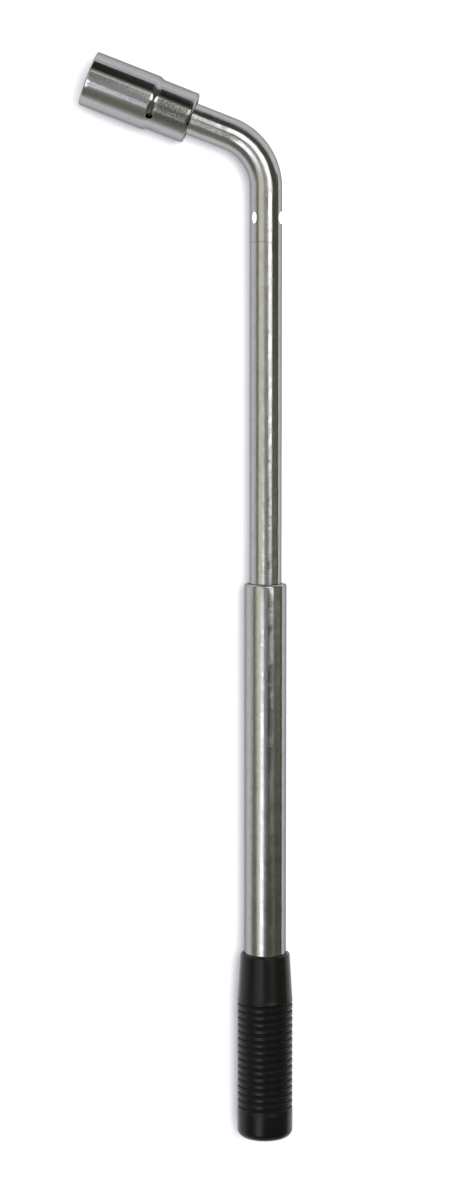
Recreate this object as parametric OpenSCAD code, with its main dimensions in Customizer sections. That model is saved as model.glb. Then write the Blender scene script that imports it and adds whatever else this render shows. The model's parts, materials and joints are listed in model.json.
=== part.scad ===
// Telescopic L-shaped lug wrench, shown pulled out to its full length.
// The socket's mouth is at the origin, the handle lies along -Y, and both
// centre lines lie in the XY plane, as the wrench lies flat on its side.

/* [Layout] */
// Lift of the socket arm above square to the handle, in degrees
arm_lift = 21.25; // [10:0.25:35]
// From the socket's mouth to the corner where the centre lines cross
arm_len = 91.2; // [88:0.1:120]
// Radius of the bend, on the bar's centre line
bend_r = 27.4; // [24:0.1:32]
// How far the handle closes up
travel = 173; // [120:0.5:173]

/* [Bar] */
// Diameter of the round bar
bar_d = 15.6; // [15:0.1:15.8]
// From the corner to the bar's inner end, along the handle
bar_end = 279.5; // [279.5:0.5:285]
// Across the flats of the square drive
drive_af = 12.65; // [12.5:0.05:12.7]
// Across the rounded corners of the square drive
drive_corner_d = 16.4; // [15.6:0.1:16.6]
// Length of the square drive
drive_len = 13.5; // [12:0.5:15]
// From the corner to the middle of the stop ears
ears_at = 33.2; // [33:0.1:33.2]
// Length of a stop ear along the bar
ear_len = 5.8; // [4:0.1:5.8]
// Width of a stop ear
ear_w = 3; // [2:0.1:4]
// How far an ear stands out of the bar
ear_rise = 0.9; // [0.6:0.1:1.2]

/* [Socket] */
// Overall length of the double-ended socket
socket_len = 52.8; // [50:0.1:56]
// Outer diameter of the large end
large_d = 26.8; // [26:0.1:28]
// Length of the large end, up to the shoulder
large_len = 31.7; // [31:0.1:32]
// Outer diameter of the small end
small_d = 24.8; // [24:0.1:25.4]
// Length of the rounded shoulder between them
shoulder_len = 3.4; // [3:0.1:4]
// Across the flats of the large hexagon
large_af = 19.2; // [19.1:0.05:19.4]
// Depth of the large hexagon
large_deep = 23; // [20:0.5:25]
// Across the flats of the small hexagon
small_af = 17.2; // [17.1:0.05:17.4]
// Where the web with the square hole ends
web_end = 40.8; // [40:0.1:42]
// Across the flats of the square hole
square_af = 12.85; // [12.8:0.05:13]
// From the socket's mouth to the detent hole
detent_at = 34.1; // [33.5:0.1:34.5]
// Diameter of the detent hole
detent_d = 3.2; // [2.6:0.1:3.4]
// Turn of the drive's flats and detent about the socket's axis, in degrees
detent_turn = 32; // [0:1:90]

/* [Tube] */
// Outer diameter of the tube
tube_d = 20.6; // [20.4:0.1:21]
// Inner diameter of the tube
tube_bore = 16.8; // [16.8:0.1:17]
// From the corner to the tube's mouth, pulled out
tube_mouth = 209.5; // [209.5:0.1:215]
// Length of the tube
tube_len = 273.2; // [265:0.1:273.2]
// Length of the rolled-in lip that bears on the bar
lip_len = 3; // [2:0.5:5]

/* [Grip] */
// Length of the grip
grip_len = 92.7; // [86:0.1:94]
// Diameter of the grip at its mouth
grip_mouth_d = 24.4; // [24:0.1:25.5]
// Diameter of the ribs' crests
rib_d = 27.3; // [26.5:0.1:27.4]
// Diameter of the smooth end band
band_d = 27.5; // [27.4:0.1:27.8]
// Number of grooves between the ribs
grooves = 16; // [8:1:16]
// Spacing of the grooves
groove_pitch = 3.45; // [3:0.05:3.45]
// Depth of a groove
groove_deep = 0.6; // [0.4:0.05:0.8]
// From the grip's mouth to its first groove
first_groove = 25; // [24:0.1:28]

/* [Catch] */
// From the corner to the two catch balls in the bar
catch_at = 267.5; // [265:0.5:267.5]
// Diameter of a catch ball
catch_ball_d = 5; // [4:0.1:5]
// How far a catch ball springs out into a groove
catch_rise = 0.9; // [0.6:0.1:1]
// Diameter of the drive's detent ball
drive_ball_d = 4.8; // [4:0.1:5]

/* [Hidden] */
$fn = 64;

eps = 0.05;              // overlap of joined solids
fit = 0.05;              // radial running clearance
lip_fit = 0.075;         // radial clearance of the tube's lip on the bar
seat = 0.1;              // end clearance between stacked pieces

bar_r = bar_d / 2;
tube_r = tube_d / 2;
bore_r = tube_bore / 2;
bend_deg = 90 - arm_lift;                       // the bend turns the bar by this much
tangent = bend_r * tan(bend_deg / 2);           // from the corner to either end of the bend
bend_land = 0.5;                                // faint ring left where the bend meets the arm
corner_x = arm_len * cos(arm_lift);
corner_y = -arm_len * sin(arm_lift);
shoulder_end = large_len + shoulder_len;

spigot_r = 6.3;                                 // turned-down end that carries the bush
spigot_len = 7;
spigot_at = bar_end - spigot_len;
bush_len = 3.5;
washer_t = 1.2;
washer_r = bore_r - 0.2;
clip_t = 0.8;
clip_r = 7.6;
clip_groove_r = 5.6;
clip_gap = 70;                                  // opening of the clip, degrees
bush_at = spigot_at + seat;
washer_at = bush_at + bush_len + seat;
clip_at = washer_at + washer_t + seat;

catch_ball_r = catch_ball_d / 2;
catch_ball_x = bar_r - 0.02 - catch_ball_r;     // ball's centre when flush with the bar
catch_spring_half = catch_ball_x - catch_ball_r - seat;
catch_groove_r = catch_ball_r + 0.3;
catch_groove_x = catch_ball_x + catch_rise - 0.08;

drive_ball_r = drive_ball_d / 2;
drive_ball_x = drive_af / 2 - 0.02 - drive_ball_r;
drive_pocket = -3.2;                            // floor of the drive's pocket, past its centre
drive_spring_top = drive_ball_x - drive_ball_r - seat;

grip_mouth = tube_mouth + tube_len + 2.5 - grip_len;
grip_end = grip_mouth + grip_len;
grip_bore_r = tube_r + 0.02;
collar_len = first_groove - 2.1;                // smooth taper above the ribs

// Socket arm: local +Z runs inwards from the socket's mouth
module on_arm() rotate([0, 0, -arm_lift]) rotate([0, 90, 0]) children();

// Handle: local +Z runs from the corner towards the grip
module on_handle() translate([corner_x, corner_y, 0]) rotate([90, 0, 0]) children();

// Radial direction of the drive's detent: local +X points out through the ball
module on_detent() on_arm() translate([0, 0, detent_at]) rotate([0, 0, 180 + detent_turn]) children();

module hexagon(af, h) cylinder(d = af / cos(30), h = h, $fn = 6);

module square_bar(af, h) translate([-af / 2, -af / 2, 0]) cube([af, af, h]);

// Wire of a spring as a swept hexagon along a helix, closed at both ends
module coil(mean_r, wire_r, turns, height) {
    steps = 12;
    sides = 6;
    rings = turns * steps;
    points = [for (i = [0:rings], j = [0:sides - 1])
        let (a = 360 * i / steps, b = 360 * j / sides, r = mean_r + wire_r * cos(b))
        [r * cos(a), r * sin(a), wire_r + (height - 2 * wire_r) * i / rings + wire_r * sin(b)]];
    skin = [for (i = [0:rings - 1], j = [0:sides - 1])
        let (k = (j + 1) % sides)
        [i * sides + j, (i + 1) * sides + j, (i + 1) * sides + k, i * sides + k]];
    start = [for (j = [0:sides - 1]) j];
    finish = [for (j = [0:sides - 1]) rings * sides + sides - 1 - j];
    polyhedron(points, concat([start, finish], skin), convexity = 4);
}

// Round bar with a forged square drive, bend, stop ears, ball bores and a turned end
module l_bar() color("silver") difference() {
    union() {
        on_arm() drive_square();
        on_arm() translate([0, 0, web_end + 0.15]) cylinder(r1 = bar_r - 0.8, r2 = bar_r, h = 0.8 + eps);
        on_arm() translate([0, 0, web_end + 0.95]) cylinder(r = bar_r, h = arm_len - tangent - web_end - 0.95);
        bend();
        on_arm() translate([0, 0, arm_len - tangent - bend_land / 2]) cylinder(r = bar_r + 0.02, h = bend_land);
        on_handle() translate([0, 0, tangent]) cylinder(r = bar_r, h = spigot_at - tangent);
        on_handle() translate([0, 0, spigot_at - eps]) cylinder(r = spigot_r, h = spigot_len + eps);
        for (turn = [16, 136, 256]) on_handle() translate([0, 0, ears_at]) rotate([0, 0, turn]) ear();
    }
    on_detent() translate([drive_pocket, 0, 0]) rotate([0, 90, 0]) cylinder(d = drive_ball_d + 2 * fit, h = 20);
    on_handle() translate([-bar_r - 1, 0, catch_at]) rotate([0, 90, 0])
        cylinder(d = catch_ball_d + 2 * fit, h = bar_d + 2);
    on_handle() translate([0, 0, clip_at - seat]) rotate_extrude()
        translate([clip_groove_r, 0]) square([4, clip_t + 2 * seat]);
}

// Square with rounded corners and a chamfered tip
module drive_square() intersection() {
    translate([0, 0, web_end - drive_len]) rotate([0, 0, detent_turn]) square_bar(drive_af, drive_len + 1);
    translate([0, 0, web_end - drive_len]) union() {
        cylinder(d1 = drive_corner_d - 2.4, d2 = drive_corner_d, h = 1.2);
        translate([0, 0, 1.2]) cylinder(d = drive_corner_d, h = drive_len);
    }
}

// Quarter-torus between the arm and the handle
module bend() translate([corner_x - bend_r, corner_y - tangent, 0])
    rotate_extrude(angle = bend_deg) translate([bend_r, 0]) circle(r = bar_r);

// Upset ear: the outer edge of a ring laid along the bar
module ear() {
    ring_r = (ear_len * ear_len / 4 + ear_rise * ear_rise) / (2 * ear_rise);
    translate([bar_r + ear_rise - ring_r, 0, 0]) rotate([90, 0, 0])
        rotate_extrude() translate([ring_r - ear_w / 2, 0]) circle(d = ear_w);
}

// Double-ended socket: large hexagon, web with a square hole, small hexagon
module socket() color("gainsboro") on_arm() difference() {
    rotate_extrude($fn = 128) socket_outline();
    translate([0, 0, -eps]) hexagon(large_af, large_deep + eps);
    lead_in(large_af);
    translate([0, 0, large_deep - 1]) rotate([0, 0, detent_turn]) square_bar(square_af, web_end - large_deep + 2);
    translate([0, 0, web_end]) hexagon(small_af, socket_len);
    translate([0, 0, socket_len]) mirror([0, 0, 1]) lead_in(small_af);
    translate([0, 0, detent_at]) rotate([0, 0, 180 + detent_turn]) rotate([0, 90, 0])
        cylinder(d = detent_d, h = large_d);
}

// Half section of the socket: rounded rims and an S-shaped shoulder of two arcs
module socket_outline() {
    step = (large_d - small_d) / 2;
    arc_r = (shoulder_len * shoulder_len + step * step) / (4 * step);
    sweep = asin(shoulder_len / 2 / arc_r);
    rim = 0.8;
    chamfer = 0.9;
    polygon(concat(
        [[0, 0]],
        [for (a = [-90:15:0]) [large_d / 2 - rim + rim * cos(a), rim + rim * sin(a)]],
        [for (i = [0:6]) let (a = sweep * i / 6)
            [large_d / 2 - arc_r + arc_r * cos(a), large_len + arc_r * sin(a)]],
        [for (i = [5:-1:0]) let (a = sweep * i / 6)
            [small_d / 2 + arc_r - arc_r * cos(a), shoulder_end - arc_r * sin(a)]],
        [[small_d / 2, socket_len - chamfer], [small_d / 2 - chamfer, socket_len], [0, socket_len]]));
}

// Conical lead into a hexagon, from its corners down to its flats
module lead_in(af) {
    corner_r = af / 2 / cos(30) + 0.25;
    translate([0, 0, -eps]) cylinder(r1 = corner_r + eps, r2 = af / 2, h = corner_r - af / 2 + eps);
}

// Detent ball of the square drive, pressed flush by the socket
module drive_ball() color("darkgray") on_detent() translate([drive_ball_x, 0, 0]) sphere(r = drive_ball_r);

module drive_spring() color("gray") on_detent() translate([drive_pocket + seat, 0, 0]) rotate([0, 90, 0])
    coil(1.6, 0.3, 4, drive_spring_top - drive_pocket - seat);

// Tube with a rolled-in lip and two inner grooves for the catch balls
module outer_tube() color("lightgray") on_handle() translate([0, 0, tube_mouth]) difference() {
    rotate_extrude($fn = 128) tube_outline();
    for (at = [0, travel]) translate([0, 0, catch_at - tube_mouth + at])
        rotate_extrude() translate([catch_groove_x, 0]) circle(r = catch_groove_r);
}

module tube_outline() {
    lip_r = bar_r + lip_fit;
    edge = 1.1;
    polygon(concat(
        [for (a = [270:15:360]) [tube_r - edge + edge * cos(a), edge + edge * sin(a)]],
        [[tube_r, tube_len - 0.5], [tube_r - 0.5, tube_len], [bore_r, tube_len],
         [bore_r, lip_len + 0.6], [lip_r, lip_len], [lip_r, 0.5], [lip_r + 0.5, 0]]));
}

// Ribbed sleeve with a closed, rounded end
module grip() color("#242424") on_handle() translate([0, 0, grip_mouth]) difference() {
    rotate_extrude($fn = 128) grip_outline();
    translate([0, 0, -eps]) cylinder(r = grip_bore_r, h = tube_mouth + tube_len + seat - grip_mouth + eps);
}

module grip_outline() {
    lip = 1.2;
    end_r = 4;
    ribs_end = first_groove + (grooves - 0.5) * groove_pitch;
    difference() {
        polygon(concat(
            [[0, 0]],
            [for (a = [-90:15:0]) [grip_mouth_d / 2 - lip + lip * cos(a), lip + lip * sin(a)]],
            [[rib_d / 2 - 0.1, collar_len], [rib_d / 2, collar_len + 0.6], [rib_d / 2, ribs_end],
             [band_d / 2, ribs_end + 0.6]],
            [for (a = [0:15:90])
                [band_d / 2 - end_r + end_r * cos(a), grip_len - end_r + end_r * sin(a)]],
            [[0, grip_len]]));
        for (i = [0:grooves - 1]) translate([rib_d / 2 + groove_deep / 2, first_groove + i * groove_pitch])
            circle(r = groove_deep * 1.5, $fn = 32);
    }
}

// Split bush on the bar's turned end, a running fit in the tube
module guide_bush() color("ivory") on_handle() translate([0, 0, bush_at]) difference() {
    cylinder(r = bore_r - fit, h = bush_len);
    translate([0, 0, -1]) cylinder(r = spigot_r + fit, h = bush_len + 2);
    rotate([0, 0, 40]) translate([0, -0.6, -1]) cube([bore_r + 1, 1.2, bush_len + 2]);
}

module retaining_washer() color("silver") on_handle() translate([0, 0, washer_at]) difference() {
    cylinder(r = washer_r, h = washer_t);
    translate([0, 0, -1]) cylinder(r = spigot_r + fit, h = washer_t + 2);
}

// Open ring that snaps into the groove at the bar's end
module retaining_clip() color("dimgray") on_handle() translate([0, 0, clip_at])
    rotate([0, 0, clip_gap / 2]) rotate_extrude(angle = 360 - clip_gap)
        translate([clip_groove_r + fit, 0]) square([clip_r - clip_groove_r - fit, clip_t]);

module catch_spring() color("gray") on_handle() translate([-catch_spring_half, 0, catch_at]) rotate([0, 90, 0])
    coil(1.7, 0.35, 4, 2 * catch_spring_half);

module catch_ball(side) color("darkgray") on_handle()
    translate([side * catch_ball_x, 0, catch_at]) sphere(r = catch_ball_r);

l_bar();
socket();
drive_ball();
drive_spring();
outer_tube();
grip();
guide_bush();
retaining_washer();
retaining_clip();
catch_spring();
catch_ball(-1);  // catch_ball_left
catch_ball(1);  // catch_ball_right
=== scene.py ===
import json
import math

import bmesh
import bpy
import numpy as np
from mathutils import Matrix, Vector


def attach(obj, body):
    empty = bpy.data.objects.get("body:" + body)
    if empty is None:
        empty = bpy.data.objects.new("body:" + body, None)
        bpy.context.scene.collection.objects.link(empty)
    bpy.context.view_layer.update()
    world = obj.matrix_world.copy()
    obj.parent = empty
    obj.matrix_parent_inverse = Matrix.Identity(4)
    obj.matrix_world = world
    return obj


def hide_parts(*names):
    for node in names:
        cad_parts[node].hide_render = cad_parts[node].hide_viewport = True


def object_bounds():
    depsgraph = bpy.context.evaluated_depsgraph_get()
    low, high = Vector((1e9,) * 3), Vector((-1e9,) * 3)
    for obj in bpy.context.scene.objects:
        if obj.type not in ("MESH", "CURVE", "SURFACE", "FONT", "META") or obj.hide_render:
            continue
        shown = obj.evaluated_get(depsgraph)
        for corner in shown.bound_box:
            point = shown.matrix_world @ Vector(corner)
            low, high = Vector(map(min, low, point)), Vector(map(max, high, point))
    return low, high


scene = bpy.context.scene
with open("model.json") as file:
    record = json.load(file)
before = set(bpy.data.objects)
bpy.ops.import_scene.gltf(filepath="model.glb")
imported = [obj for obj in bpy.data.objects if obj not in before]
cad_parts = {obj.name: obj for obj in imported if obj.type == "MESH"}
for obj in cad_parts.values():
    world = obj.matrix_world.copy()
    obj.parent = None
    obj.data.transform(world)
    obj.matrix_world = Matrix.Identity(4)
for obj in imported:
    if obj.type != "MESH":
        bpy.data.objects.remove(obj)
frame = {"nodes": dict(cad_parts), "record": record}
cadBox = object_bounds()
nodeBody = {node: body for body, nodes in frame["record"]["behaviour"]["bodies"].items() for node in nodes}
print("frame loaded:", len(frame["nodes"]), "CAD nodes")

layout = {
    "armLift": 21.25,      # the socket arm's lift above square to the handle
    "armLength": 91.2,     # from the socket's mouth to the corner of the centre lines
    "bendRadius": 27.4,
    "barRadius": 7.8,
    "detentTurn": 32,      # turn of the square drive's flats about the arm
    "detentAt": 34.1,      # from the socket's mouth to the detent ball
    "catchAt": 267.5,      # from the corner to the catch balls
}

millimetre = 0.001
fullTurn = 2 * math.pi
lift = math.radians(layout["armLift"])
armAxis = np.array([math.cos(lift), -math.sin(lift), 0.0])
armSide = np.array([math.sin(lift), math.cos(lift), 0.0])
upward = np.array([0.0, 0.0, 1.0])
handleAxis = np.array([0.0, -1.0, 0.0])
handleSide = np.array([1.0, 0.0, 0.0])
corner = armAxis * layout["armLength"]


# Places and surfaces

def onArm(x, y, z):
    # x down, y to the arm's side and z inwards from the socket's mouth: z*axis + y*side - x*up
    x, y, z = np.broadcast_arrays(x, y, z)
    return z[..., None] * armAxis + y[..., None] * armSide - x[..., None] * upward


def onHandle(x, y, z):
    # x to the handle's side, y up and z from the corner to the grip: corner + x*side + y*up + z*axis
    x, y, z = np.broadcast_arrays(x, y, z)
    return corner + x[..., None] * handleSide + y[..., None] * upward + z[..., None] * handleAxis


def arc(middle, radius, first, last, steps):
    # points of a circle's arc, middle + radius*(cos a, sin a), with a from first to last degrees
    a = np.radians(np.linspace(first, last, steps + 1))
    return np.stack([middle[0] + radius * np.cos(a), middle[1] + radius * np.sin(a)], 1)


def smooth(t):
    # smooth step of t from 0 to 1: 3t^2 - 2t^3
    t = np.clip(t, 0, 1)
    return t * t * (3 - 2 * t)


def gridQuads(rows, cols, wrap=False):
    # one quad for each cell of a grid that is closed across, and closed along too if wrap is set
    i = np.arange(rows if wrap else rows - 1)[:, None]
    j = np.arange(cols)[None, :]
    low, high, nextJ = i * cols, (i + 1) % rows * cols, (j + 1) % cols
    return np.stack(np.broadcast_arrays(low + j, low + nextJ, high + nextJ, high + j), -1)


def pick(values, names):
    return [values[name] for name in names.split()]


def placed(name, data):
    # a new object at the origin, in the scene
    item = bpy.data.objects.new(name, data)
    scene.collection.objects.link(item)
    return item


def fan(ring, middle):
    # triangles from each edge of a closed ring to its middle vertex
    return np.stack([ring, np.roll(ring, -1), np.full(len(ring), middle)], 1)


def bridge(first, second):
    # quads between two closed loops that have the same number of vertices
    return np.stack([first, np.roll(first, -1), np.roll(second, -1), second], 1)


def lofted(grid, wrap=False, openCells=None, tips=None):
    # a grid of points as a skin: quads between its rings, and a fan over each end unless it wraps
    rows, cols = grid.shape[:2]
    points, quads = grid.reshape(-1, 3), gridQuads(rows, cols, wrap)
    if openCells is not None:
        quads = quads[~openCells[:len(quads)]]
    faces = [quads.reshape(-1, 4)]
    if not wrap:
        ends = np.stack([grid[0].mean(0), grid[-1].mean(0)] if tips is None else tips)
        first, last = np.arange(cols), np.arange(cols) + (rows - 1) * cols
        faces += [fan(first, len(points)), fan(last, len(points) + 1)]
        points = np.concatenate([points, ends])
    return points, faces


def roundHole(y, z, rowMid, colMid, half, radius, zMid, way=1):
    # draws a square of cells into a circle: at index offset (u, v) the point goes to
    # radius*(u, v)*max(|u|, |v|)/hypot(u, v) inside the rim, and back to its own place at twice that
    rows, cols = y.shape
    u = (((np.arange(cols) - colMid + cols // 2) % cols - cols // 2) / half)[None, :]
    v = ((np.arange(rows) - rowMid) / half)[:, None]
    reach = np.maximum(abs(u), abs(v))
    scale = radius * reach / np.maximum(np.hypot(u, v), 1e-9)
    own = smooth(reach - 1)
    near = reach < 2
    holeY = np.where(near, (1 - own) * u * scale + own * y, y)
    holeZ = np.where(near, zMid + (1 - own) * way * v * scale + own * (z - zMid), z)
    openCells = (abs(v + 0.5 / half) < 1) & (abs(u + 0.5 / half) < 1)
    return holeY, holeZ, near, openCells


def rimOf(rowMid, colMid, half, cols, way=1, hand=1):
    # vertex numbers round a square of cells, the loop that roundHole turns into the hole's rim
    side, full = np.arange(-half, half), np.full(2 * half, half)
    du = np.concatenate([side, full, -side, -full])
    dv = np.concatenate([-full, side, full, -side])
    return (rowMid + way * dv) * cols + (colMid + hand * du) % cols


def hexReach(t, acrossFlats):
    # distance from the middle to a hexagon's side at angle t: half the flats / cos of the angle off the flat
    return acrossFlats / 2 / np.cos(t % (math.pi / 3) - math.pi / 6)


def squareReach(t, acrossFlats, turn):
    # distance from the middle to a square's side at angle t, with a flat facing the angle turn
    return acrossFlats / 2 / np.cos((t - turn + math.pi / 4) % (math.pi / 2) - math.pi / 4)


def spreadToFlat(off, block, radius, flat):
    # turns from the middle of a flat, moved so that columns block degrees apart span the hole's radius there
    reach = [math.degrees(math.atan(k * radius / flat)) for k in (1, 2)]
    moved = np.interp(abs(np.degrees(off)), [0, block, 2 * block, 45, 360], [0, *reach, 45, 360])
    return np.sign(off) * np.radians(moved)


def buildPiece(name, points, faces, look, node, sharp=32, laid=None):
    # puts points in metres and their faces into a mesh, turned outwards, and hangs it on its node's body
    used = np.unique(np.concatenate([f.ravel() for f in faces]))
    renumber = np.zeros(len(points), int)
    renumber[used] = np.arange(len(used))
    mesh = bpy.data.meshes.new(name)
    mesh.from_pydata(points[used].tolist(), [], [q for f in faces for q in renumber[f].tolist()])
    work = bmesh.new()
    work.from_mesh(mesh)
    bmesh.ops.recalc_face_normals(work, faces=work.faces[:])
    work.to_mesh(mesh)
    work.free()
    if laid is not None:
        attribute = mesh.attributes.new("laid", "FLOAT_VECTOR", "POINT")
        attribute.data.foreach_set("vector", laid[used].astype(np.float32).ravel())
    mesh.shade_smooth()
    mesh.set_sharp_from_angle(angle=math.radians(sharp))
    mesh.materials.append(look)
    piece = placed(name, mesh)
    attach(piece, nodeBody[node])
    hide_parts(node)
    print(f"{name}: {len(mesh.polygons)} faces")


def turned(profile, start, columns, wrap=True):
    # a solid of revolution on the handle's axis: profile point (r, z) goes to (r*cos t, r*sin t, start + z)
    t = np.arange(columns) * fullTurn / columns
    r, z = profile[:, :1], profile[:, 1:]
    return lofted(onHandle(r * np.cos(t), r * np.sin(t), start + (z + 0 * t)) * millimetre, wrap)


# Node helpers

class Value:
    # wraps a socket, so that sums and products of sockets and numbers add their Math nodes
    def __init__(self, nodes, socket):
        self.nodes, self.socket = nodes, socket

    def maths(self, operation, *values):
        return self.nodes.add("Math", {"operation": operation}, dict(enumerate(values)))

    def __add__(self, other): return self.maths("ADD", self, other)
    def __sub__(self, other): return self.maths("SUBTRACT", self, other)
    def __mul__(self, other): return self.maths("MULTIPLY", self, other)
    def __rsub__(self, other): return self.maths("SUBTRACT", other, self)
    def __pow__(self, other): return self.maths("POWER", self, other)
    __radd__, __rmul__ = __add__, __mul__


class Nodes:
    # adds nodes to a tree and links them
    def __init__(self, tree):
        self.tree = tree
        tree.nodes.clear()

    def add(self, kind, settings=None, inputs=None, out=0):
        # one node: settings first, then the values or links of its sockets; returns one output or several
        node = self.tree.nodes.new("ShaderNode" + kind)
        for key, setting in (settings or {}).items():
            setattr(node, key, setting)
        for key, value in (inputs or {}).items():
            if isinstance(value, Value):
                self.tree.links.new(value.socket, node.inputs[key])
            else:
                node.inputs[key].default_value = value
        if isinstance(out, tuple):
            return [Value(self, node.outputs[name]) for name in out]
        return Value(self, node.outputs[out]) if len(node.outputs) else None

    def own(self):
        # the piece's own coordinates
        return self.add("TexCoord", out="Object")

    def split(self, vector):
        return self.add("SeparateXYZ", {}, {"Vector": vector}, out=("X", "Y", "Z"))

    def noise(self, where, scale, detail=2.0, roughness=0.5):
        return self.add("TexNoise", {},
                        {"Vector": where, "Scale": scale, "Detail": detail, "Roughness": roughness})

    def stretched(self, where, scale, turn=(0, 0, 0)):
        return self.add("Mapping", {}, {"Vector": where, "Rotation": turn, "Scale": scale})

    def step(self, value, low, high):
        # smooth step of value from 0 at low to 1 at high
        return self.add("MapRange", {"interpolation_type": "SMOOTHSTEP"},
                        {"Value": value, "From Min": low, "From Max": high})

    def band(self, value, low, high, soft):
        # 1 between low and high, 0 outside them, with soft edges
        return self.step(value, low - soft, low + soft) * (1 - self.step(value, high - soft, high + soft))

    def mix(self, factor, first, second):
        # colour first where factor is 0 and second where it is 1
        return self.add("Mix", {"data_type": "RGBA"}, {0: factor, 6: first, 7: second}, out=2)

    def bump(self, height, depth, normal=None):
        # relief of a depth in millimetres, over another relief if one is given
        sockets = {"Height": height, "Distance": depth * millimetre, "Strength": 1.0}
        if normal is not None:
            sockets["Normal"] = normal
        return self.add("Bump", {}, sockets)


def newLook(name):
    material = bpy.data.materials.new(name)
    material.use_nodes = True
    return material, Nodes(material.node_tree)


def finishLook(nodes, sockets):
    surface = nodes.add("BsdfPrincipled", {}, sockets)
    nodes.add("OutputMaterial", {}, {"Surface": surface})


# Finishes

def dirtyPlate(nodes, own, finish):
    # thin handling dirt on the plate: where it is, and the plate's colour with it
    dirt = nodes.step(nodes.noise(own, finish["dirtScale"], 5.0, 0.65), *finish["dirtFrom"])
    return dirt, nodes.mix(dirt * finish["dirt"], finish["colour"], finish["dirtColour"])


def finishPlate(nodes, finish, tone, metal, rough, relief):
    finishLook(nodes, {"Base Color": tone, "Metallic": metal, "Roughness": rough, "Normal": relief,
                       "Specular Tint": finish["edgeTint"]})


def chromeLook(name, finish, laid, grain):
    # bright chrome: a faintly rippled and pitted plate, with lines along the piece and thin handling dirt; on
    # the bar also a rub ring and painted highlights at the ears
    material, nodes = newLook(name)
    own = nodes.own()
    place = nodes.add("Attribute", {"attribute_name": "laid"}, out="Vector") if laid else own
    ripple = nodes.noise(nodes.stretched(place, grain), finish["rippleScale"], 2.0)
    lineGrain = tuple(finish["lineStretch"] if a < 1 else a for a in grain)
    lines = nodes.noise(nodes.stretched(place, lineGrain), finish["lineScale"], 3.0, 0.6)
    dirt, tone = dirtyPlate(nodes, own, finish)
    rough = finish["roughness"] + dirt * finish["dirtBlur"] + lines * finish["lineBlur"]
    metal = 1.0
    if "wornAt" in finish:
        # the rub ring: a band round the bar whose edges wander
        wander = nodes.noise(own, 700.0, 3.0) * finish["wornSoft"]
        ring = nodes.band(nodes.split(own)[1] + wander, *finish["wornAt"], finish["wornSoft"])
        tone = nodes.mix(ring * finish["worn"], tone, finish["wornColour"])
        # painted highlight on the ears' tops: further from the axis than the bar's radius, near the ears'
        # place along it
        across, up, down = nodes.split(place)
        ear = nodes.step((across * across + up * up) ** 0.5, *finish["earFrom"])
        ear = ear * nodes.band(down, *finish["earAt"], finish["earSoft"])
        # painted highlight beside the right-hand ear: an ellipse, by how far a point faces the patch
        facing = across * math.cos(finish["patchTurn"]) + up * math.sin(finish["patchTurn"])
        past = down - finish["patchAt"]
        highlightPatch = nodes.step(facing - past * past * finish["patchShape"], *finish["patchFrom"])
        # both painted highlights are coloured near white, and made rougher and less metallic
        paintedHighlight = 1 - (1 - ear) * (1 - highlightPatch)
        tone = nodes.mix(paintedHighlight, tone, finish["earHighlightColour"])
        rough = rough + paintedHighlight * finish["earBlur"]
        metal = 1 - paintedHighlight * finish["earDull"]
    pitted = nodes.step(nodes.noise(own, finish["pitPatches"], 2.0), *finish["pitsFrom"])
    pits = nodes.noise(place, finish["pitScale"], 3.0, 0.6) * pitted
    relief = nodes.bump(lines, finish["lineDepth"], nodes.bump(ripple, finish["rippleDepth"]))
    finishPlate(nodes, finish, tone, metal, rough, nodes.bump(pits, finish["pitDepth"], relief))
    return material


def turnedChromeLook(name, finish):
    # chrome over turning marks: rings round the arm's axis, each with its own small slope and broken up
    material, nodes = newLook(name)
    own = nodes.own()
    local = nodes.stretched(own, (1, 1, 1), (0, 0, lift))
    marks = nodes.noise(nodes.stretched(local, finish["markGrain"]), finish["markScale"], 4.0, 0.7)
    ripple = nodes.noise(local, finish["rippleScale"], 2.0)
    dirt, tone = dirtyPlate(nodes, own, finish)
    # the small end's upper side is darker, all but some flecks
    along, _, up = nodes.split(local)
    flecks = nodes.step(nodes.noise(local, finish["fleckScale"], 3.0, 0.6), *finish["flecksFrom"])
    upperDarkening = nodes.step(along, *finish["darkAlongFrom"]) * nodes.step(up, *finish["darkAbove"])
    tone = nodes.mix(upperDarkening * (1 - flecks * finish["flecks"]), tone, finish["upperSideColour"])
    rough = finish["roughness"] + dirt * finish["dirtBlur"] + marks * finish["markBlur"]
    relief = nodes.bump(marks, finish["markDepth"], nodes.bump(ripple, finish["rippleDepth"]))
    finishPlate(nodes, finish, tone, 1.0, rough, relief)
    return material


def rubberLook(name, finish):
    # moulded black rubber: fine grain, a faint bloom, and painted shade low in the grooves, which are duller
    # there too
    material, nodes = newLook(name)
    own = nodes.own()
    grain = nodes.noise(own, finish["grainScale"], 3.0, 0.6)
    bloom = nodes.noise(own, finish["bloomScale"], 4.0, 0.6)
    x, y, z = nodes.split(own)
    side = x - float(corner[0] * millimetre)
    radius = (side * side + z * z) ** 0.5
    ribbed = nodes.band(y, *finish["ribsAt"], finish["ribsSoft"])
    low = ribbed * (1 - nodes.step(radius, *finish["ribHeights"]))
    tone = nodes.mix(nodes.step(bloom, 0.35, 0.75) * finish["bloom"], finish["colour"], finish["bloomColour"])
    # painted shade: the grooves' floors are coloured darker
    tone = nodes.mix(low * finish["groove"], tone, finish["grooveShadeColour"])
    rough = finish["roughness"] + bloom * 0.1 + grain * 0.06 + ribbed * 0.03 + low * finish["grooveBlur"]
    relief = nodes.bump(grain, finish["grainDepth"], nodes.bump(bloom, finish["bloomDepth"]))
    finishLook(nodes, {"Base Color": tone, "Roughness": rough, "Normal": relief,
                       "Specular IOR Level": finish["shine"]})
    return material


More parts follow.
